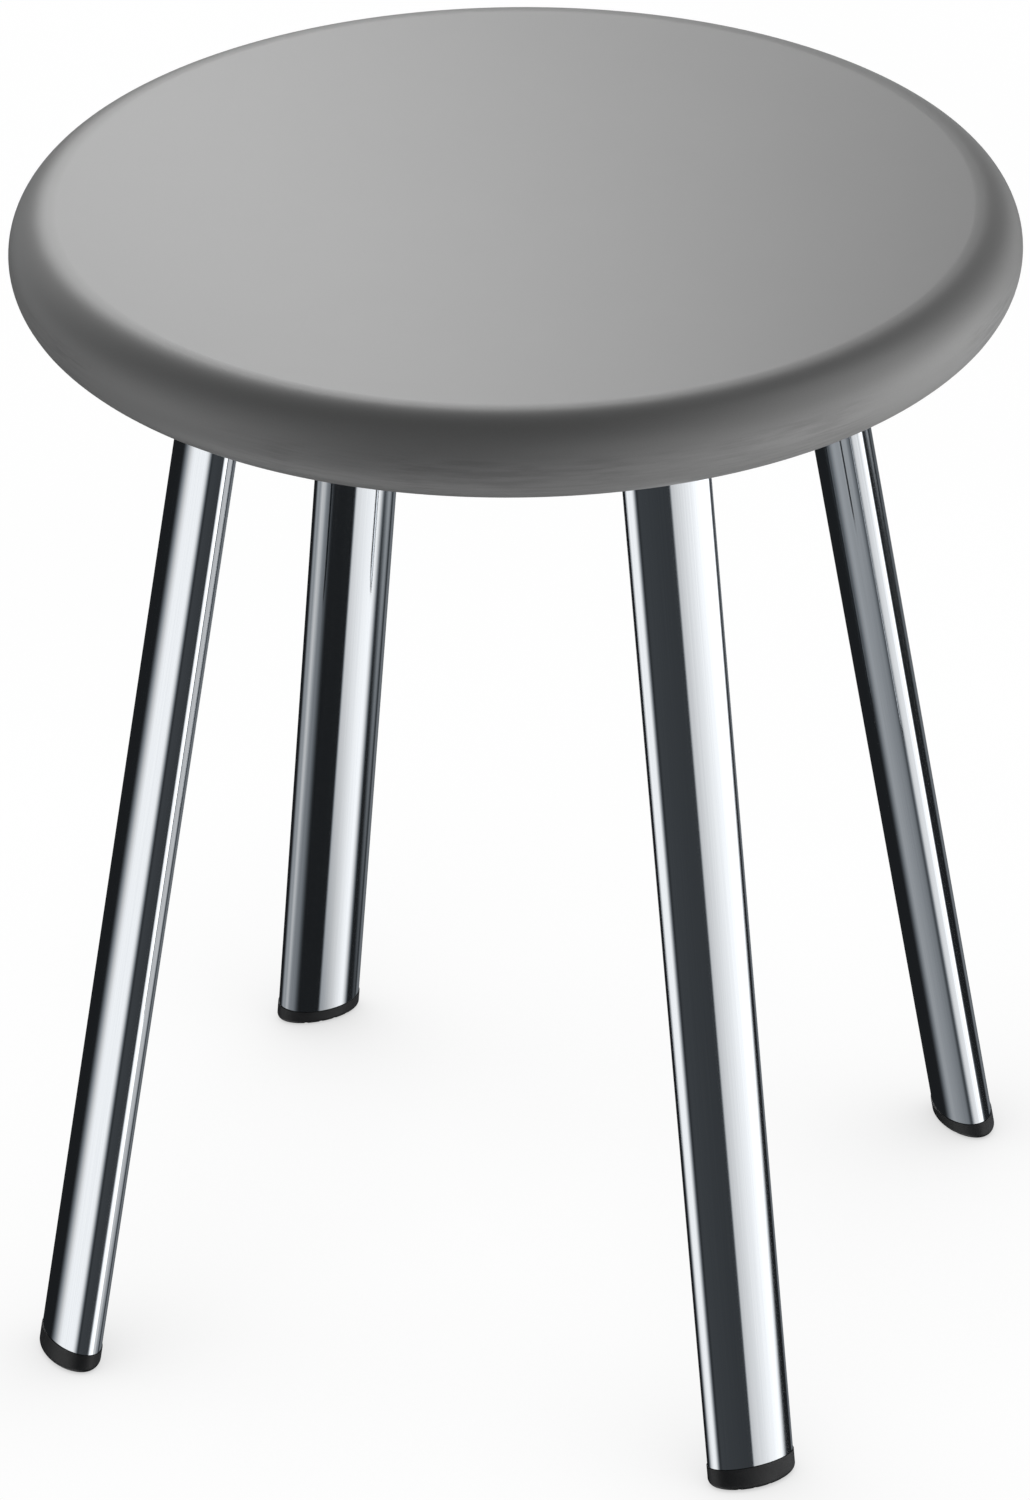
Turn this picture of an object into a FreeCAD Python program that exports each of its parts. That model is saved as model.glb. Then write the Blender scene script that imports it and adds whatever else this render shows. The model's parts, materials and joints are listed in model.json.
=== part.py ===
import FreeCAD, Part
import math
import os

# Shower stool, in millimetres: a round padded seat on four splayed oval legs.
# The origin is on the floor under the middle of the seat, and +Z is up.
# The legs stand on the diagonals, and the front is towards -Y.

# Overall
seat_height = 450.0            # floor to the top of the seat
seat_diameter = 378.0
seat_thickness = 35.0          # the edge is a half round of this thickness

# Seat core: a board moulded into the seat pad
core_diameter = 330.0
core_thickness = 12.0
core_skin = 4.0                # pad thickness below the core, filled by the leg plates

# Legs: oval tube, its wide side facing outwards
leg_top_radius = 121.0         # leg axis from the middle, at the seat's underside
leg_foot_radius = 196.0        # leg axis from the middle, at the floor
tube_width = 35.0              # along the seat's edge
tube_depth = 20.0              # towards the middle
tube_wall = 1.5

# Leg plates and their screws
plate_width = 66.0             # along the seat's edge
plate_depth = 54.0             # towards the middle
plate_corner = 9.0
pocket_gap = 0.5               # between a plate and its pocket's side walls
screw_spacing_width = 48.0
screw_spacing_depth = 37.0
screw_radius = 2.95            # M6
screw_length = 14.0
screw_head_radius = 5.6
screw_head_height = 3.0
screw_hole_radius = 3.3
socket_across_flats = 4.0
socket_depth = 2.2
sink_gap = 0.1                 # between a countersunk head and its seat

# Threaded inserts in the core
insert_radius = 5.9
insert_bore_radius = 3.0
insert_length = 11.0
insert_hole_radius = 6.0

# Foot caps
cap_height = 8.0               # floor to the tube's end, along the leg's axis
cap_overhang = 0.3             # how far the collar stands proud of the tube
cap_edge_radius = 2.5
plug_length = 24.0
plug_gap = 0.5                 # between the plug and the tube
plug_wall = 2.5
rib_gap = 0.05                 # between the ribs and the tube
rib_height = 1.6
rib_pitch = 6.0
rib_count = 3
groove_width = 1.6             # grip grooves across the sole
groove_depth = 1.0
groove_pitch = 6.0
groove_count = 4

# Worked out from the sizes above
seat_radius = seat_diameter / 2
seat_underside = seat_height - seat_thickness
edge_radius = seat_thickness / 2
core_bottom = seat_underside + core_skin
splay = math.degrees(math.atan2(leg_foot_radius - leg_top_radius, seat_underside))
leg_length = math.hypot(leg_foot_radius - leg_top_radius, seat_underside)

leg_angles = {
    "front_right": -45.0,
    "rear_right": 45.0,
    "rear_left": 135.0,
    "front_left": -135.0,
}

spare = 20.0                   # how far cutting tools reach past what they cut


def vec(x, y, z):
    return FreeCAD.Vector(x, y, z)


def cylinder(radius, bottom, top, x=0.0, y=0.0):
    return Part.makeCylinder(radius, top - bottom, vec(x, y, bottom))


def oval_bar(width, depth, bottom, top):
    """An upright elliptical bar: width along Y, depth along X."""
    ellipse = Part.Ellipse(vec(0, width / 2, bottom), vec(depth / 2, 0, bottom), vec(0, 0, bottom))
    face = Part.Face(Part.Wire(ellipse.toShape()))
    return face.extrude(vec(0, 0, top - bottom))


def rounded_slab(width, depth, corner, bottom, top):
    """A slab with round corners in plan: width along Y, depth along X."""
    slab = Part.makeBox(depth, width, top - bottom, vec(-depth / 2, -width / 2, bottom))
    uprights = [edge for edge in slab.Edges if edge.BoundBox.ZLength > 0.9 * (top - bottom)]
    return slab.makeFillet(corner, uprights)


def below(height):
    """The half space below a height, as a large box."""
    side = 2 * seat_diameter
    return Part.makeBox(side, side, side, vec(-side / 2, -side / 2, height - side))


def above(height):
    """The half space above a height, as a large box."""
    side = 2 * seat_diameter
    return Part.makeBox(side, side, side, vec(-side / 2, -side / 2, height))


def lean(shape):
    """Tilt an upright leg part inwards and stand its axis on the floor at the foot radius."""
    leaned = shape.copy()
    leaned.rotate(vec(0, 0, 0), vec(0, 1, 0), -splay)
    leaned.translate(vec(leg_foot_radius, 0, 0))
    return leaned


def to_leg(shape, angle):
    """Turn a part made on the +X side round to a leg's place."""
    placed = shape.copy()
    placed.rotate(vec(0, 0, 0), vec(0, 0, 1), angle)
    return placed


def screw_places():
    """The four screws of one plate, as (x, y) on the +X side."""
    places = []
    for side_x in (-0.5, 0.5):
        for side_y in (-0.5, 0.5):
            x = leg_top_radius + side_x * screw_spacing_depth
            places.append((x, side_y * screw_spacing_width))
    return places


def seat_core():
    core = cylinder(core_diameter / 2, core_bottom, core_bottom + core_thickness)
    for angle in leg_angles.values():
        for x, y in screw_places():
            hole = cylinder(insert_hole_radius, core_bottom - spare, core_bottom + insert_length, x, y)
            core = core.cut(to_leg(hole, angle))
    return core


def pad_blank():
    """The pad's outer shape: a disc with a half-round edge."""
    flat_radius = seat_radius - edge_radius
    bottom_axis = vec(0, 0, seat_underside)
    bottom_rim = vec(flat_radius, 0, seat_underside)
    edge_middle = vec(seat_radius, 0, seat_underside + edge_radius)
    top_rim = vec(flat_radius, 0, seat_height)
    top_axis = vec(0, 0, seat_height)
    outline = Part.Wire([
        Part.LineSegment(bottom_axis, bottom_rim).toShape(),
        Part.Arc(bottom_rim, edge_middle, top_rim).toShape(),
        Part.LineSegment(top_rim, top_axis).toShape(),
        Part.LineSegment(top_axis, bottom_axis).toShape(),
    ])
    return Part.Face(outline).revolve(vec(0, 0, 0), vec(0, 0, 1), 360)


def seat_pad():
    core_space = cylinder(core_diameter / 2, core_bottom, core_bottom + core_thickness)
    pad = pad_blank().cut(core_space)
    pocket = rounded_slab(
        plate_width + 2 * pocket_gap,
        plate_depth + 2 * pocket_gap,
        plate_corner + pocket_gap,
        seat_underside - spare,
        core_bottom + core_skin / 2,
    )
    pocket.translate(vec(leg_top_radius, 0, 0))
    for angle in leg_angles.values():
        pad = pad.cut(to_leg(pocket, angle))
    return pad


def leg_tube():
    longest = leg_length + spare
    outside = oval_bar(tube_width, tube_depth, cap_height, longest)
    inside = oval_bar(tube_width - 2 * tube_wall, tube_depth - 2 * tube_wall, 0, longest + spare)
    return lean(outside.cut(inside)).cut(above(seat_underside))


def countersink(radius_gap):
    """The cone that a screw's head fills, from the plate's lower face upwards."""
    return Part.makeCone(
        screw_head_radius + radius_gap,
        screw_radius + radius_gap,
        screw_head_height,
        vec(0, 0, seat_underside),
    )


def leg_plate():
    plate = rounded_slab(plate_width, plate_depth, plate_corner, seat_underside, core_bottom)
    plate.translate(vec(leg_top_radius, 0, 0))
    for x, y in screw_places():
        sink = countersink(sink_gap)
        sink.translate(vec(x, y, 0))
        hole = cylinder(screw_hole_radius, seat_underside - spare, core_bottom + spare, x, y)
        plate = plate.cut(sink).cut(hole)
    return plate


def plate_screw():
    """One countersunk screw on the Z axis, head down, with a hexagon socket."""
    shank = cylinder(screw_radius, seat_underside, seat_underside + screw_length)
    socket_radius = socket_across_flats / math.sqrt(3)
    corners = []
    for step in range(7):
        turn = math.radians(60 * step)
        corners.append(vec(socket_radius * math.cos(turn), socket_radius * math.sin(turn), seat_underside))
    socket = Part.Face(Part.makePolygon(corners)).extrude(vec(0, 0, socket_depth))
    return countersink(0.0).fuse(shank).removeSplitter().cut(socket)


def core_insert():
    """One threaded insert on the Z axis, flush with the core's lower face."""
    body = cylinder(insert_radius, core_bottom, core_bottom + insert_length)
    return body.cut(cylinder(insert_bore_radius, core_bottom - spare, core_bottom + insert_length + spare))


def at_screw_places(shape):
    """One copy of a part at each of a plate's four screws."""
    copies = []
    for x, y in screw_places():
        copy = shape.copy()
        copy.translate(vec(x, y, 0))
        copies.append(copy)
    return Part.makeCompound(copies)


def foot_collar():
    """The part of the cap below the tube: a flat sole on the floor with a rounded edge."""
    width = tube_width + 2 * cap_overhang
    depth = tube_depth + 2 * cap_overhang
    collar = lean(oval_bar(width, depth, -spare, cap_height)).cut(below(0))
    sole_edges = [edge for edge in collar.Edges if edge.BoundBox.ZMax < 0.1]
    return collar.makeFillet(cap_edge_radius, sole_edges)


def foot_plug():
    """The part of the cap inside the tube: a hollow oval plug with ribs."""
    inner_width = tube_width - 2 * tube_wall
    inner_depth = tube_depth - 2 * tube_wall
    top = cap_height + plug_length
    plug = oval_bar(inner_width - 2 * plug_gap, inner_depth - 2 * plug_gap, cap_height / 2, top)
    for step in range(rib_count):
        rib_bottom = cap_height + (step + 1) * rib_pitch
        rib = oval_bar(inner_width - 2 * rib_gap, inner_depth - 2 * rib_gap, rib_bottom, rib_bottom + rib_height)
        plug = plug.fuse(rib)
    hollow = oval_bar(
        inner_width - 2 * plug_gap - 2 * plug_wall,
        inner_depth - 2 * plug_gap - 2 * plug_wall,
        cap_height,
        top + spare,
    )
    return lean(plug.cut(hollow))


def foot_cap():
    cap = foot_collar().fuse(foot_plug()).removeSplitter()
    for step in range(groove_count):
        offset = (step - (groove_count - 1) / 2) * groove_pitch
        groove = Part.makeBox(
            2 * tube_width,
            groove_width,
            groove_depth + spare,
            vec(leg_foot_radius - tube_width, offset - groove_width / 2, -spare),
        )
        cap = cap.cut(groove)
    return cap


def save(name, shape):
    shape.exportStep(os.path.join("parts", name + ".step"))


def main():
    os.makedirs("parts", exist_ok=True)
    save("seat_pad", seat_pad())
    save("seat_core", seat_core())
    leg_parts = {
        "leg_tube": leg_tube(),
        "leg_plate": leg_plate(),
        "plate_screws": at_screw_places(plate_screw()),
        "core_inserts": at_screw_places(core_insert()),
        "foot_cap": foot_cap(),
    }
    for place, angle in leg_angles.items():
        for kind, shape in leg_parts.items():
            save(kind + "_" + place, to_leg(shape, angle))


main()
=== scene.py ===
import json
import math

import bmesh
import bpy
from mathutils import Matrix, Vector


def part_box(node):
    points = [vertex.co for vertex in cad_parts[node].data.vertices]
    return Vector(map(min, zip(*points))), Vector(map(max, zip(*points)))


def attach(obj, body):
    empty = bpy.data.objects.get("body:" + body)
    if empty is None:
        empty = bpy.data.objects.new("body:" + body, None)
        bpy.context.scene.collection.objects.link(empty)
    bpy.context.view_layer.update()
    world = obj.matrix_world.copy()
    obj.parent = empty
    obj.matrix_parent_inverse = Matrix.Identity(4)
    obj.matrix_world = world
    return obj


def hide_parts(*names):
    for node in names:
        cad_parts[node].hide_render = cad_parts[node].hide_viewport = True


# Shower stool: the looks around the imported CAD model, in metres, in the model's own frame.
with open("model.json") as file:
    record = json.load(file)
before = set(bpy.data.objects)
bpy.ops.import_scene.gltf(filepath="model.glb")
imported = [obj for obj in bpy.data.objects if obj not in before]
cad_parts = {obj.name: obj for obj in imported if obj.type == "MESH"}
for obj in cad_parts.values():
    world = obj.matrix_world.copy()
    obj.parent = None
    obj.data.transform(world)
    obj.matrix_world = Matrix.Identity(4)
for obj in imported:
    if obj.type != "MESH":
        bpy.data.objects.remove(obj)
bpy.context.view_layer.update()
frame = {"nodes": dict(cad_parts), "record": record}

PLACES = ("front_right", "rear_right", "rear_left", "front_left")
SMOOTH_ANGLE = 35.0            # edges sharper than this, in degrees, stay sharp

# Camera: where it stands around the stool, in degrees and metres
CAMERA_AZIMUTH = 19.5          # from the front (-Y) towards the right (+X)
CAMERA_PITCH = 28.56           # how far it looks down
CAMERA_ROLL = -0.61
CAMERA_DISTANCE = 3.592        # from the point that it aims at
CAMERA_AIM_HEIGHT = 0.217
CAMERA_AIM_RIGHT = -0.0022
CAMERA_LENS_MM = 224.8
CAMERA_SENSOR_MM = 36.0
CAMERA_SIGHT = 200.0           # how far it sees

# Seat pad
RING_STEPS = 240               # points round the seat
SUPPORT_GAP = 0.001            # rows this close to an edge keep the shading of the flat beside it flat
EDGE_STEPS = 40                # points along the half-round edge
POCKET_CORNER = 0.0095
POCKET_GAP = 0.0005            # between a plate and the pocket that it sits in
POCKET_LIP = 0.0012            # rounding of the pocket's rim
CORNER_STEPS = 8
LIP_STEPS = 4
INNER_ROWS = (0.9, 0.7, 0.45, 0.2)   # rows across the flat top, as shares of its radius
SEAM_ANGLE = -38.0             # trimmed mould seam, below the edge's widest line
SEAM_WIDTH = 2.0               # degrees of the edge's section
SEAM_HEIGHT = 0.00012
AXIS_GAP = 0.001               # keeps a division by the distance from the seat's axis finite
MARKS_FADE = 0.006             # width over which the marks round the edge fade in
MARKS_TURN = (0.4, 0.05)       # where they fade in going down the edge, in radians above its widest line
LINES_PER_METRE = 320.0        # noise units across the lines; round the seat a unit is one radian
STREAKS_PER_METRE = 75.0

# Seat core
PLY_THICKNESS = 0.0015

# Leg tubes
TUBE_STEPS = 160               # points round the oval
TUBE_WALL = 0.0015
TUBE_EDGE = 0.0002             # deburring of the outer end

# Weld beads where the tubes meet their plates
BEAD_RADIUS = 0.0019
BEAD_STEPS = 192
BEAD_SECTION_STEPS = 12
BEAD_RIPPLES = 58
BEAD_RIPPLE_SHARE = 0.07       # how much a ripple changes the bead's radius
BEAD_SINK = 0.6                # how far the bead's middle lies below the plate, in radii
BEAD_SMOOTH_ANGLE = 60.0

FLOOR_SIZE = 60.0
FLOOR_DROP = 0.0002            # keeps the floor from lying exactly in the soles' plane
FLOOR_SHADOW_REACH = 0.2       # how near things darken the floor with painted shadow
FLOOR_SHADOW_LEVEL = 0.62      # the painted shadow's level where the floor is most closed in
FLOOR_SHADOW_SAMPLES = 16

WHITE = (1.0, 1.0, 1.0)
UP = Vector((0.0, 0.0, 1.0))


def card(azimuth, sides_soft, height, height_soft, level):
    """A card of light: what it fills as seen from the stool, how softly each side ends, and its level.

    Azimuth is in degrees from the front (-Y) towards the right (+X), and height in degrees above the
    horizon. The level goes evenly from one number to the other along the azimuth.
    """
    return dict(azimuth=azimuth, sides_soft=sides_soft, height=height, height_soft=height_soft, level=level)


# Cards that the tubes mirror when they are seen from the camera
LEG_CARDS = (
    card((-82, -25), (16, 12), (-29, 8), (5, 4), (1.0, 1.0)),
    card((-87, -4), (14, 12), (-49, -31), (4, 5), (0.38, 0.17)),
    card((-53, -22), (10, 8), (-40.5, -32), (2.5, 4), (0.3, 0.3)),
    card((-12, 56), (8, 2), (-31, 8), (5, 4), (0.045, 0.03)),
    card((56.5, 143), (1.5, 8), (-20, 8), (1.5, 4), (0.6, 1.8)),
    card((57, 109), (2.5, 9), (-49, -38), (4, 3), (0.8, 1.15)),
    card((8, 58), (12, 5), (-41, -29.5), (3, 2), (0.7, 0.9)),
    card((56, 90), (5, 6), (-36, -20), (3, 2), (0.9, 1.7)),
    card((90, 138), (6, 12), (-38, -28), (3, 2), (0.5, 0.6)),
    card((154, 196), (8, 4), (-40, -22), (3, 4), (0.2, 0.1)),
)
# Cards behind the stool and a ring of strips above the horizon, for the other sides
OTHER_CARDS = (
    card((158, 200), (6, 6), (-13, 4), (3, 4), (0.7, 0.45)),
    card((222, 262), (6, 6), (-13, 4), (3, 4), (0.35, 0.6)),
    card((28, 66), (8, 8), (8, 34), (6, 4), (0.65, 0.65)),
    card((102, 140), (8, 8), (8, 34), (6, 4), (0.65, 0.65)),
    card((220, 258), (8, 8), (8, 34), (6, 4), (0.65, 0.65)),
    card((294, 332), (8, 8), (8, 34), (6, 4), (0.65, 0.65)),
)
# Cards that light the seat: one high on the right, and one low on the left that reaches to straight below
SEAT_CARDS = (
    card((87, 132), (6, 6), (34, 62), (4, 4), (1.7, 1.7)),
    card((-115, -25), (8, 8), (-110, -52), (3, 3), (1.1, 1.1)),
)
DARK_LEVEL = 0.015             # everywhere, and all there is between the cards
DARK_TINT = (0.83, 0.915, 1.0)
TINT_LEVELS = (0.05, 0.6)      # the tint fades to white between these levels, so only dim cards have it
BACKDROP_LEVEL = 1.0           # of the floor, and of what the camera sees behind it

# Lamps near the seat: place and aim in metres from the middle of the seat's top (to the camera's right,
# away from the camera, up), width and height in metres, and power in watts
BACK_LAMPS = {
    "back_left": dict(place=(-0.30, 0.80, 0.50), aim=(-0.09, 0.0, 0.0), size=(0.45, 0.45), power=3.8),
    "back_high": dict(place=(0.0, 0.80, 0.68), aim=(0.0, 0.0, 0.0), size=(0.25, 0.45), power=2.4),
    "back_right": dict(place=(0.125, 0.80, 0.50), aim=(0.04, 0.0, 0.0), size=(0.50, 0.45), power=1.2),
}
# These light the seat's edge, and nothing mirrors them
EDGE_LAMPS = {
    "left": dict(place=(-0.65, -0.37, -0.05), aim=(-0.13, -0.07, -0.03), size=(0.30, 0.30), power=0.5),
    "low_right": dict(place=(0.67, -0.33, -0.30), aim=(0.13, -0.07, -0.03), size=(0.30, 0.30), power=3.5),
}


# ---------------------------------------------------------------- places read from the frame

def mount_place(name):
    """Where the record puts a mount."""
    for mount in frame["record"]["mounts"]:
        if mount["name"] == name:
            return Vector(mount["pos_m"])
    raise ValueError("the record has no mount named " + name)


def leg_foot(place):
    """The point where a leg's axis meets the floor."""
    return mount_place("sole_" + place)


def leg_head(place):
    """The point where a leg's axis meets its plate."""
    low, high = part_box("leg_plate_" + place)
    middle = (low + high) / 2
    return Vector((middle.x, middle.y, low.z))


def leg_axes(place):
    """A leg's own directions: outwards across the section, along the seat's edge, and up the leg."""
    foot = leg_foot(place)
    up_leg = (leg_head(place) - foot).normalized()
    sideways = Vector((-foot.y, foot.x, 0.0)).normalized()
    outwards = sideways.cross(up_leg)
    return outwards, sideways, up_leg


# ---------------------------------------------------------------- node trees

class Nodes:
    """A short way to write a node tree: most calls add a node and give back its output."""

    def __init__(self, tree):
        self.tree = tree
        tree.nodes.clear()

    def put(self, socket, value):
        if isinstance(value, bpy.types.NodeSocket):
            self.tree.links.new(value, socket)
        else:
            socket.default_value = value

    def node(self, kind, inputs=(), **settings):
        made = self.tree.nodes.new(kind)
        for name, value in settings.items():
            setattr(made, name, value)
        for name, value in dict(inputs).items():
            self.put(made.inputs[name], value)
        return made

    def math(self, operation, *values):
        made = self.tree.nodes.new("ShaderNodeMath")
        made.operation = operation
        for socket, value in zip(made.inputs, values):
            self.put(socket, value)
        return made.outputs[0]

    def vector(self, x, y, z):
        return self.node("ShaderNodeCombineXYZ", {"X": x, "Y": y, "Z": z}).outputs[0]

    def parts(self, vector):
        return self.node("ShaderNodeSeparateXYZ", {"Vector": vector}).outputs

    def ramp(self, value, low, high, start=0.0, end=1.0, curve="LINEAR"):
        """The value, taken from low..high to start..end and held at the ends."""
        inputs = {"Value": value, "From Min": low, "From Max": high, "To Min": start, "To Max": end}
        return self.node("ShaderNodeMapRange", inputs, interpolation_type=curve).outputs[0]

    def window(self, value, start, end, soft_start, soft_end):
        """1 between start and end, falling smoothly to 0 outside them."""
        rise = self.ramp(value, start - soft_start, start + soft_start, curve="SMOOTHSTEP")
        fall = self.ramp(value, end - soft_end, end + soft_end, 1.0, 0.0, "SMOOTHSTEP")
        return self.math("MULTIPLY", rise, fall)

    def noise(self, vector, scale, detail=2.0, roughness=0.5):
        inputs = {"Vector": vector, "Scale": scale, "Detail": detail, "Roughness": roughness}
        return self.node("ShaderNodeTexNoise", inputs).outputs["Fac"]

    def blend_colour(self, share, first, second):
        inputs = {"Factor": share, "A": (*first, 1.0), "B": (*second, 1.0)}
        return self.node("ShaderNodeMix", inputs, data_type="RGBA").outputs["Result"]

    def bump(self, height, distance, strength):
        """A bump as high as the distance, in metres, where the height is 1."""
        inputs = {"Height": height, "Distance": distance, "Strength": strength}
        return self.node("ShaderNodeBump", inputs).outputs[0]


def surface(name):
    """A new material, its node writer and its Principled shader."""
    material = bpy.data.materials.new(name)
    material.use_nodes = True
    nodes = Nodes(material.node_tree)
    shader = nodes.node("ShaderNodeBsdfPrincipled")
    output = nodes.node("ShaderNodeOutputMaterial")
    nodes.tree.links.new(shader.outputs[0], output.inputs["Surface"])
    return material, nodes, shader


def object_place(nodes):
    return nodes.node("ShaderNodeTexCoord").outputs["Object"]


# ---------------------------------------------------------------- materials

def pad_skin():
    """Self-skinned foam: a smooth satin skin, with fine lines and faint scuffs on the edge's lower half."""
    material, nodes, shader = surface("pad_skin")
    place = object_place(nodes)
    x, y, z = nodes.parts(place)
    reach = nodes.math("SQRT", nodes.math("ADD", nodes.math("MULTIPLY", x, x), nodes.math("MULTIPLY", y, y)))
    safe_reach = nodes.math("MAXIMUM", reach, AXIS_GAP)
    round_x = nodes.math("DIVIDE", x, safe_reach)
    round_y = nodes.math("DIVIDE", y, safe_reach)

    pad_low, pad_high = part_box("seat_pad")
    edge = (pad_high.z - pad_low.z) / 2
    flat = pad_high.x - edge
    on_edge = nodes.ramp(reach, flat, flat + MARKS_FADE, curve="SMOOTHSTEP")
    rise = nodes.math("SUBTRACT", z, pad_low.z + edge)
    turn = nodes.math("ARCTAN2", rise, nodes.math("SUBTRACT", reach, flat))
    along_edge = nodes.math("MULTIPLY", turn, edge)
    below_shoulder = nodes.ramp(turn, *MARKS_TURN, curve="SMOOTHSTEP")
    low_edge = nodes.math("MULTIPLY", on_edge, below_shoulder)

    grain = nodes.noise(place, scale=1400.0, detail=3.0, roughness=0.6)
    cloud = nodes.noise(place, scale=9.0, detail=3.0, roughness=0.55)
    line_place = nodes.vector(round_x, round_y, nodes.math("MULTIPLY", along_edge, LINES_PER_METRE))
    streak_place = nodes.vector(round_x, round_y, nodes.math("MULTIPLY", along_edge, STREAKS_PER_METRE))
    fine_lines = nodes.noise(line_place, scale=1.6, detail=3.0, roughness=0.6)
    streaks = nodes.ramp(nodes.noise(streak_place, scale=9.0, detail=4.0, roughness=0.6), 0.42, 0.66)
    patches = nodes.ramp(nodes.noise(place, scale=14.0, detail=2.0), 0.35, 0.6, curve="SMOOTHSTEP")
    scuffs = nodes.math("MULTIPLY", nodes.math("MULTIPLY", streaks, patches), low_edge)

    tone = nodes.math("ADD", nodes.ramp(cloud, 0.3, 0.7, 0.65, 0.85), nodes.ramp(grain, 0.3, 0.7, -0.1, 0.1))
    tone = nodes.math("SUBTRACT", tone, nodes.math("MULTIPLY", scuffs, 0.9))
    colour = nodes.blend_colour(tone, (0.200, 0.199, 0.198), (0.256, 0.255, 0.253))
    nodes.put(shader.inputs["Base Color"], colour)
    rough = nodes.ramp(grain, 0.25, 0.75, 0.42, 0.46)
    rough = nodes.math("ADD", rough, nodes.math("MULTIPLY", scuffs, 0.08))
    nodes.put(shader.inputs["Roughness"], rough)
    nodes.put(shader.inputs["IOR"], 1.5)

    lines = nodes.math("MULTIPLY", fine_lines, nodes.math("MULTIPLY", low_edge, 0.5))
    height = nodes.math("ADD", nodes.math("MULTIPLY", grain, 0.1), lines)
    height = nodes.math("SUBTRACT", height, nodes.math("MULTIPLY", scuffs, 0.5))
    nodes.put(shader.inputs["Normal"], nodes.bump(height, distance=0.0001, strength=0.8))
    return material


def leg_steel(place):
    """Polished stainless tube with faint brushing along the leg."""
    material, nodes, shader = surface("leg_steel_" + place)
    outwards, sideways, up_leg = leg_axes(place)
    turn = Matrix((outwards, sideways, up_leg)).to_euler()
    mapping = nodes.node("ShaderNodeMapping", {"Vector": object_place(nodes)}, vector_type="POINT")
    mapping.inputs["Rotation"].default_value = turn
    across, around, along = nodes.parts(mapping.outputs[0])
    drawn = nodes.vector(across, around, nodes.math("MULTIPLY", along, 0.004))

    fine = nodes.noise(drawn, scale=2600.0, detail=2.0, roughness=0.6)
    wide = nodes.noise(drawn, scale=500.0, detail=1.0, roughness=0.5)
    stretched = nodes.vector(across, around, nodes.math("MULTIPLY", along, 0.05))
    cloud = nodes.noise(stretched, scale=60.0, detail=2.0, roughness=0.5)

    colour = nodes.blend_colour(nodes.ramp(fine, 0.3, 0.7), (0.79, 0.82, 0.855), (0.85, 0.88, 0.91))
    nodes.put(shader.inputs["Base Color"], colour)
    shader.inputs["Metallic"].default_value = 1.0
    rough = nodes.ramp(nodes.math("ADD", fine, nodes.math("MULTIPLY", cloud, 0.6)), 0.5, 1.1, 0.05, 0.09)
    nodes.put(shader.inputs["Roughness"], rough)
    height = nodes.math("ADD", nodes.math("MULTIPLY", fine, 0.5), wide)
    nodes.put(shader.inputs["Normal"], nodes.bump(height, distance=0.000001, strength=0.6))
    return material


def satin_steel():
    """Plates: flat stainless sheet with a fine directional grain."""
    material, nodes, shader = surface("satin_steel")
    x, y, z = nodes.parts(object_place(nodes))
    drawn = nodes.vector(nodes.math("MULTIPLY", x, 0.03), y, z)
    grain = nodes.noise(drawn, scale=2200.0, detail=4.0, roughness=0.65)
    cloud = nodes.noise(object_place(nodes), scale=40.0, detail=3.0)
    colour = nodes.blend_colour(grain, (0.50, 0.50, 0.49), (0.66, 0.66, 0.65))
    nodes.put(shader.inputs["Base Color"], colour)
    shader.inputs["Metallic"].default_value = 1.0
    nodes.put(shader.inputs["Roughness"], nodes.ramp(cloud, 0.3, 0.7, 0.28, 0.40))
    nodes.put(shader.inputs["Normal"], nodes.bump(grain, distance=0.00001, strength=0.6))
    return material


def weld_metal():
    """Cleaned weld: matt metal with a trace of heat colour."""
    material, nodes, shader = surface("weld_metal")
    place = object_place(nodes)
    tint = nodes.ramp(nodes.noise(place, scale=120.0, detail=2.0), 0.4, 0.7)
    colour = nodes.blend_colour(tint, (0.46, 0.45, 0.43), (0.58, 0.50, 0.38))
    nodes.put(shader.inputs["Base Color"], colour)
    shader.inputs["Metallic"].default_value = 1.0
    grain = nodes.noise(place, scale=900.0, detail=3.0)
    nodes.put(shader.inputs["Roughness"], nodes.ramp(grain, 0.3, 0.7, 0.35, 0.55))
    return material


def plated_steel():
    """Screws: bright zinc plating, a little cloudy."""
    material, nodes, shader = surface("plated_steel")
    cloud = nodes.noise(object_place(nodes), scale=500.0, detail=3.0, roughness=0.6)
    colour = nodes.blend_colour(cloud, (0.50, 0.52, 0.54), (0.68, 0.70, 0.72))
    nodes.put(shader.inputs["Base Color"], colour)
    shader.inputs["Metallic"].default_value = 1.0
    nodes.put(shader.inputs["Roughness"], nodes.ramp(cloud, 0.3, 0.7, 0.22, 0.36))
    nodes.put(shader.inputs["Normal"], nodes.bump(cloud, distance=0.00002, strength=0.5))
    return material


def insert_brass():
    """Threaded inserts: turned brass, a little cloudy."""
    material, nodes, shader = surface("insert_brass")
    cloud = nodes.noise(object_place(nodes), scale=600.0, detail=3.0)
    colour = nodes.blend_colour(cloud, (0.55, 0.40, 0.16), (0.74, 0.58, 0.30))
    nodes.put(shader.inputs["Base Color"], colour)
    shader.inputs["Metallic"].default_value = 1.0
    nodes.put(shader.inputs["Roughness"], nodes.ramp(cloud, 0.3, 0.7, 0.25, 0.38))
    return material


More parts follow.
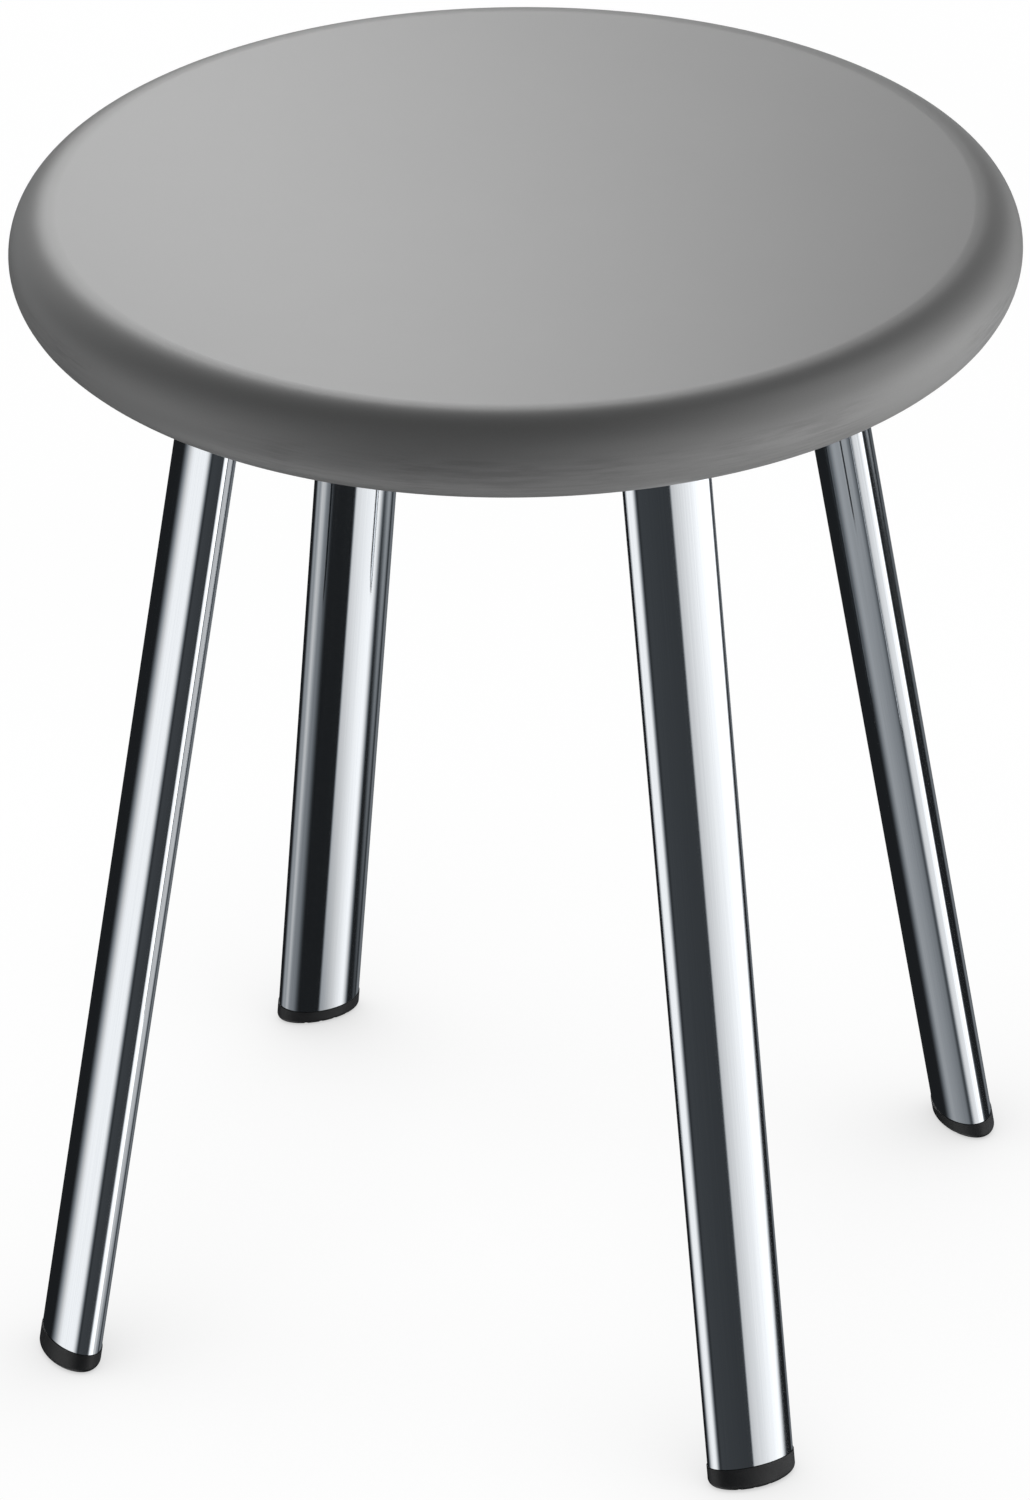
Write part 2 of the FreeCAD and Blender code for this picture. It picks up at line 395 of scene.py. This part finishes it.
def core_plywood():
    """Plywood: long grain on the faces, thin plies one above the other on the edge."""
    material, nodes, shader = surface("core_plywood")
    x, y, z = nodes.parts(object_place(nodes))
    long_grain = nodes.vector(nodes.math("MULTIPLY", x, 0.08), y, z)
    grain = nodes.noise(long_grain, scale=260.0, detail=5.0, roughness=0.6)
    plies = nodes.math("PINGPONG", z, PLY_THICKNESS)
    share = nodes.math("ADD", grain, nodes.ramp(plies, 0.0, PLY_THICKNESS, -0.25, 0.25))
    colour = nodes.blend_colour(share, (0.40, 0.26, 0.14), (0.70, 0.54, 0.35))
    nodes.put(shader.inputs["Base Color"], colour)
    nodes.put(shader.inputs["Roughness"], nodes.ramp(grain, 0.3, 0.7, 0.55, 0.75))
    nodes.put(shader.inputs["Normal"], nodes.bump(grain, distance=0.00008, strength=0.6))
    return material


def foot_rubber():
    """Foot caps: black elastomer with a fine spark-eroded grain."""
    material, nodes, shader = surface("foot_rubber")
    place = object_place(nodes)
    grain = nodes.noise(place, scale=1900.0, detail=3.0, roughness=0.6)
    dust = nodes.noise(place, scale=90.0, detail=3.0, roughness=0.6)
    colour = nodes.blend_colour(nodes.ramp(dust, 0.35, 0.75), (0.006, 0.006, 0.007), (0.015, 0.016, 0.017))
    nodes.put(shader.inputs["Base Color"], colour)
    nodes.put(shader.inputs["Roughness"], nodes.ramp(grain, 0.3, 0.7, 0.40, 0.52))
    nodes.put(shader.inputs["Normal"], nodes.bump(grain, distance=0.00004, strength=0.7))
    return material


def floor_paint():
    """A plain pale floor that glows evenly, with a painted shadow that makes it a little darker round the
    feet.
    """
    material, nodes, shader = surface("floor_paint")
    # Painted shadow: ambient occlusion dims the floor's glow near the feet, since the lamps cast no shadow
    # on this self-lit floor
    inputs = {"Distance": FLOOR_SHADOW_REACH}
    occlusion = nodes.node("ShaderNodeAmbientOcclusion", inputs, samples=FLOOR_SHADOW_SAMPLES)
    openness = occlusion.outputs["AO"]
    cloud = nodes.noise(object_place(nodes), scale=3.0, detail=3.0)
    painted_shadow = nodes.ramp(openness, 0.2, 1.0, FLOOR_SHADOW_LEVEL, 1.0)
    level = nodes.math("MULTIPLY", painted_shadow, nodes.ramp(cloud, 0.3, 0.7, 0.99, 1.0))
    shader.inputs["Base Color"].default_value = (0.0, 0.0, 0.0, 1.0)
    shader.inputs["Specular IOR Level"].default_value = 0.0
    shader.inputs["Emission Color"].default_value = (*WHITE, 1.0)
    nodes.put(shader.inputs["Emission Strength"], nodes.math("MULTIPLY", level, BACKDROP_LEVEL))
    return material


# ---------------------------------------------------------------- meshes

def finish_mesh(bm, name, material, smooth_angle=SMOOTH_ANGLE):
    """Turns a bmesh into a new object with smooth faces, sharp only at its real corners."""
    bmesh.ops.recalc_face_normals(bm, faces=bm.faces[:])
    mesh = bpy.data.meshes.new(name)
    bm.to_mesh(mesh)
    bm.free()
    mesh.shade_smooth()
    mesh.set_sharp_from_angle(angle=math.radians(smooth_angle))
    mesh.materials.append(material)
    made = bpy.data.objects.new(name, mesh)
    bpy.context.scene.collection.objects.link(made)
    return made


def add_ring(bm, radius, height):
    """A circle of points round the Z axis."""
    ring = []
    for step in range(RING_STEPS):
        turn = 2 * math.pi * step / RING_STEPS
        ring.append(bm.verts.new((radius * math.cos(turn), radius * math.sin(turn), height)))
    return ring


def bridge(bm, first, second):
    """Quads between two closed rows of as many points."""
    count = len(first)
    for step in range(count):
        after = (step + 1) % count
        bm.faces.new((first[step], first[after], second[after], second[step]))


def ring_edges(bm, ring):
    return [bm.edges.get((ring[step - 1], ring[step])) for step in range(len(ring))]


def fill_flat(bm, rings, up):
    """Triangles in the flat region between an outer ring and the rings inside it."""
    edges = []
    for ring in rings:
        edges += ring_edges(bm, ring)
    bmesh.ops.triangle_fill(bm, use_beauty=True, edges=edges, normal=(0, 0, 1 if up else -1))


def pocket_outline(width, depth, corner):
    """A rounded rectangle round the origin: width along Y, depth along X."""
    points = []
    for quarter in range(4):
        sign_x = 1 if quarter in (0, 3) else -1
        sign_y = 1 if quarter in (0, 1) else -1
        centre_x = sign_x * (depth / 2 - corner)
        centre_y = sign_y * (width / 2 - corner)
        for step in range(CORNER_STEPS + 1):
            turn = math.radians(90 * quarter + 90 * step / CORNER_STEPS)
            points.append((centre_x + corner * math.cos(turn), centre_y + corner * math.sin(turn)))
    return points


def add_pocket_ring(bm, place, size, grow, height):
    """One row of a pocket's wall, grown outwards from the plate's outline, at a height."""
    head = leg_head(place)
    turn = math.atan2(head.y, head.x)
    width, depth = size
    ring = []
    for x, y in pocket_outline(width + 2 * grow, depth + 2 * grow, POCKET_CORNER + grow):
        placed_x = head.x + x * math.cos(turn) - y * math.sin(turn)
        placed_y = head.y + x * math.sin(turn) + y * math.cos(turn)
        ring.append(bm.verts.new((placed_x, placed_y, height)))
    return ring


def plate_size(place):
    """A plate's width and depth in its own directions, from its points."""
    outwards = leg_foot(place).normalized()
    sideways = Vector((-outwards.y, outwards.x, 0.0))
    spans = []
    for direction in (sideways, outwards):
        reach = [direction.dot(vertex.co) for vertex in frame["nodes"]["leg_plate_" + place].data.vertices]
        spans.append(max(reach) - min(reach))
    return spans


def edge_profile(flat_radius, underside, thickness):
    """The half-round edge from the underside to the top, as (radius, height), with the mould's seam."""
    edge = thickness / 2
    points = []
    for step in range(EDGE_STEPS + 1):
        turn = -90 + 180 * step / EDGE_STEPS
        ridge = SEAM_HEIGHT * math.exp(-(((turn - SEAM_ANGLE) / SEAM_WIDTH) ** 2))
        reach = edge + ridge - SEAM_HEIGHT
        if abs(turn) == 90:
            reach = edge
        radius = flat_radius + reach * math.cos(math.radians(turn))
        height = underside + edge + reach * math.sin(math.radians(turn))
        points.append((radius, height))
    return points


def build_pad(material):
    """The seat pad: a disc with a half-round edge, hollow for its core, with a pocket for each plate."""
    low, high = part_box("seat_pad")
    core_low, core_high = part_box("seat_core")
    thickness = high.z - low.z
    flat_radius = high.x - thickness / 2
    core_radius = core_high.x

    bm = bmesh.new()
    under = add_ring(bm, flat_radius - SUPPORT_GAP, low.z)
    row = under
    for radius, height in edge_profile(flat_radius, low.z, thickness):
        following = add_ring(bm, radius, height)
        bridge(bm, row, following)
        row = following
    for share in (1 - SUPPORT_GAP / flat_radius, *INNER_ROWS):
        following = add_ring(bm, flat_radius * share, high.z)
        bridge(bm, row, following)
        row = following
    fill_flat(bm, [row], True)

    ceiling = add_ring(bm, core_radius, core_high.z)
    cavity = add_ring(bm, core_radius, core_low.z)
    bridge(bm, ceiling, cavity)
    fill_flat(bm, [ceiling], False)

    outer_rows = []
    inner_rows = []
    for place in PLACES:
        size = plate_size(place)
        row = add_pocket_ring(bm, place, size, POCKET_GAP + POCKET_LIP + SUPPORT_GAP, low.z)
        outer_rows.append(row)
        for step in range(LIP_STEPS + 1):
            turn = math.radians(90 * step / LIP_STEPS)
            grow = POCKET_GAP + POCKET_LIP * (1 - math.sin(turn))
            following = add_pocket_ring(bm, place, size, grow, low.z + POCKET_LIP * (1 - math.cos(turn)))
            bridge(bm, row, following)
            row = following
        following = add_pocket_ring(bm, place, size, POCKET_GAP, core_low.z)
        bridge(bm, row, following)
        inner_rows.append(following)
    fill_flat(bm, [under, *outer_rows], False)
    fill_flat(bm, [cavity, *inner_rows], True)
    return finish_mesh(bm, "seat_pad_skin", material)


def tube_section(place):
    """Half the width and half the depth of a leg's oval, from its points."""
    outwards, sideways, _ = leg_axes(place)
    foot = leg_foot(place)
    halves = []
    for direction in (sideways, outwards):
        vertices = frame["nodes"]["leg_tube_" + place].data.vertices
        halves.append(max(abs(direction.dot(vertex.co - foot)) for vertex in vertices))
    return halves


def build_tube(place, material):
    """A leg's oval tube, mitred under its plate and square at its foot cap, with its outer end deburred."""
    outwards, sideways, up_leg = leg_axes(place)
    half_width, half_depth = tube_section(place)
    head = leg_head(place)
    foot = leg_foot(place)
    vertices = frame["nodes"]["leg_tube_" + place].data.vertices
    end = min(up_leg.dot(vertex.co - foot) for vertex in vertices)

    def row(inset, height):
        """Points round the tube: at a height up the leg, or in the plate's plane if the height is None."""
        points = []
        for step in range(TUBE_STEPS):
            turn = 2 * math.pi * step / TUBE_STEPS
            across = outwards * ((half_depth - inset) * math.cos(turn))
            across += sideways * ((half_width - inset) * math.sin(turn))
            along = (head.z - foot.z - across.z) / up_leg.z if height is None else height
            points.append(bm.verts.new(foot + across + up_leg * along))
        return points

    bm = bmesh.new()
    rows = [
        row(TUBE_WALL, None),
        row(0.0, None),
        row(0.0, end + TUBE_EDGE),
        row(TUBE_EDGE, end),
        row(TUBE_WALL, end),
    ]
    for step in range(len(rows)):
        bridge(bm, rows[step - 1], rows[step])
    return finish_mesh(bm, "leg_tube_skin_" + place, material)


def build_weld(place, material):
    """A bead of weld round the top of a tube, with the ripples that a welder leaves."""
    outwards, sideways, up_leg = leg_axes(place)
    half_width, half_depth = tube_section(place)
    head = leg_head(place)
    bm = bmesh.new()
    rows = []
    for step in range(BEAD_STEPS):
        turn = 2 * math.pi * step / BEAD_STEPS
        across = outwards * (half_depth * math.cos(turn)) + sideways * (half_width * math.sin(turn))
        on_plate = head + across - up_leg * (across.z / up_leg.z)
        normal = outwards * (math.cos(turn) / half_depth) + sideways * (math.sin(turn) / half_width)
        normal.z = 0.0
        normal.normalize()
        radius = BEAD_RADIUS * (1 + BEAD_RIPPLE_SHARE * math.sin(BEAD_RIPPLES * turn))
        middle = on_plate - UP * (BEAD_SINK * BEAD_RADIUS)
        row = []
        for section in range(BEAD_SECTION_STEPS):
            angle = 2 * math.pi * section / BEAD_SECTION_STEPS
            offset = normal * (radius * math.cos(angle)) + UP * (radius * math.sin(angle))
            row.append(bm.verts.new(middle + offset))
        rows.append(row)
    for step in range(BEAD_STEPS):
        bridge(bm, rows[step - 1], rows[step])
    return finish_mesh(bm, "weld_bead_" + place, material, BEAD_SMOOTH_ANGLE)


def build_floor():
    bm = bmesh.new()
    half = FLOOR_SIZE / 2
    corners = []
    for x, y in ((-half, -half), (half, -half), (half, half), (-half, half)):
        corners.append(bm.verts.new((x, y, -FLOOR_DROP)))
    bm.faces.new(corners)
    floor = finish_mesh(bm, "floor", floor_paint())
    floor.visible_diffuse = False
    floor.visible_glossy = False
    floor.visible_shadow = False


# ---------------------------------------------------------------- studio

def camera_directions():
    """Level directions as the camera has them: to its right, and away from it."""
    turn = math.radians(CAMERA_AZIMUTH)
    return Vector((math.cos(turn), math.sin(turn), 0.0)), Vector((-math.sin(turn), math.cos(turn), 0.0))


def card_light(nodes, made, azimuth, height):
    """The light that one card sends from a direction."""
    start, end = made["azimuth"]
    half = (end - start) / 2
    offset = nodes.math("WRAP", nodes.math("SUBTRACT", azimuth, start + half), 180.0, -180.0)
    share = nodes.window(offset, -half, half, *made["sides_soft"])
    share = nodes.math("MULTIPLY", share, nodes.window(height, *made["height"], *made["height_soft"]))
    return nodes.math("MULTIPLY", share, nodes.ramp(offset, -half, half, *made["level"]))


def studio_world():
    """The cards as a world light. The camera itself sees a plain white backdrop instead of them."""
    world = bpy.data.worlds.new("studio")
    world.use_nodes = True
    bpy.context.scene.world = world
    nodes = Nodes(world.node_tree)
    x, y, z = nodes.parts(nodes.node("ShaderNodeTexCoord").outputs["Generated"])
    azimuth = nodes.math("DEGREES", nodes.math("ARCTAN2", x, nodes.math("MULTIPLY", y, -1.0)))
    height = nodes.math("DEGREES", nodes.math("ARCSINE", z))
    total = DARK_LEVEL
    for made in (*LEG_CARDS, *OTHER_CARDS, *SEAT_CARDS):
        total = nodes.math("ADD", card_light(nodes, made, azimuth, height), total)
    camera_ray = nodes.node("ShaderNodeLightPath").outputs["Is Camera Ray"]
    choice = {"Factor": camera_ray, "A": total, "B": BACKDROP_LEVEL}
    level = nodes.node("ShaderNodeMix", choice, data_type="FLOAT").outputs["Result"]
    tint = nodes.blend_colour(nodes.ramp(level, *TINT_LEVELS), DARK_TINT, WHITE)
    background = nodes.node("ShaderNodeBackground", {"Color": tint, "Strength": level})
    output = nodes.node("ShaderNodeOutputWorld")
    nodes.tree.links.new(background.outputs[0], output.inputs["Surface"])


def place_lamp(name, lamp, mirrored):
    """An area lamp, placed from the seat's top as the camera looks at it, which the steel may mirror."""
    right, away = camera_directions()
    from_camera = Matrix((right, away, UP)).transposed()
    data = bpy.data.lights.new(name + "_lamp", "AREA")
    data.shape = "RECTANGLE"
    data.size, data.size_y = lamp["size"]
    data.energy = lamp["power"]
    light = bpy.data.objects.new(data.name, data)
    beam = from_camera @ (Vector(lamp["aim"]) - Vector(lamp["place"]))
    light.location = mount_place("seat_top") + from_camera @ Vector(lamp["place"])
    light.rotation_mode = "QUATERNION"
    light.rotation_quaternion = beam.to_track_quat("-Z", "Y")
    light.visible_camera = False
    light.visible_glossy = mirrored
    bpy.context.scene.collection.objects.link(light)


def place_lamps():
    for name, lamp in BACK_LAMPS.items():
        place_lamp(name, lamp, True)
    for name, lamp in EDGE_LAMPS.items():
        place_lamp(name, lamp, False)


def place_camera():
    right, away = camera_directions()
    pitch = math.radians(CAMERA_PITCH)
    back = UP * math.sin(pitch) - away * math.cos(pitch)
    aim = UP * CAMERA_AIM_HEIGHT + right * CAMERA_AIM_RIGHT
    data = bpy.data.cameras.new("camera")
    data.lens = CAMERA_LENS_MM
    data.sensor_width = CAMERA_SENSOR_MM
    data.clip_end = CAMERA_SIGHT
    camera = bpy.data.objects.new("camera", data)
    level = Matrix((right, back.cross(right), back)).transposed()
    turned = level @ Matrix.Rotation(math.radians(CAMERA_ROLL), 3, "Z")
    camera.matrix_world = Matrix.Translation(aim + back * CAMERA_DISTANCE) @ turned.to_4x4()
    bpy.context.scene.collection.objects.link(camera)
    bpy.context.scene.camera = camera


# ---------------------------------------------------------------- the object

def paint(node, material):
    """Puts a better material in a CAD piece's own slots."""
    for slot in frame["nodes"][node].material_slots:
        slot.material = material


def dress_cad():
    """Materials for the CAD pieces that stay in the picture or inside the object."""
    shared = {
        "leg_plate": satin_steel(),
        "plate_screws": plated_steel(),
        "core_inserts": insert_brass(),
        "foot_cap": foot_rubber(),
    }
    paint("seat_core", core_plywood())
    for place in PLACES:
        for kind, material in shared.items():
            paint(kind + "_" + place, material)


def add_pad():
    pad = build_pad(pad_skin())
    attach(pad, "root")
    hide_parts("seat_pad")


def add_tubes():
    """Smoothly meshed tubes, because polished steel shows every unevenness of a surface."""
    for place in PLACES:
        tube = build_tube(place, leg_steel(place))
        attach(tube, "root")
        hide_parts("leg_tube_" + place)


def add_welds():
    material = weld_metal()
    for place in PLACES:
        bead = build_weld(place, material)
        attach(bead, "root")


place_camera()
studio_world()
place_lamps()
build_floor()
dress_cad()
add_pad()
add_tubes()
add_welds()

bpy.context.scene.view_settings.view_transform = "Standard"
bpy.context.scene.view_settings.look = "None"
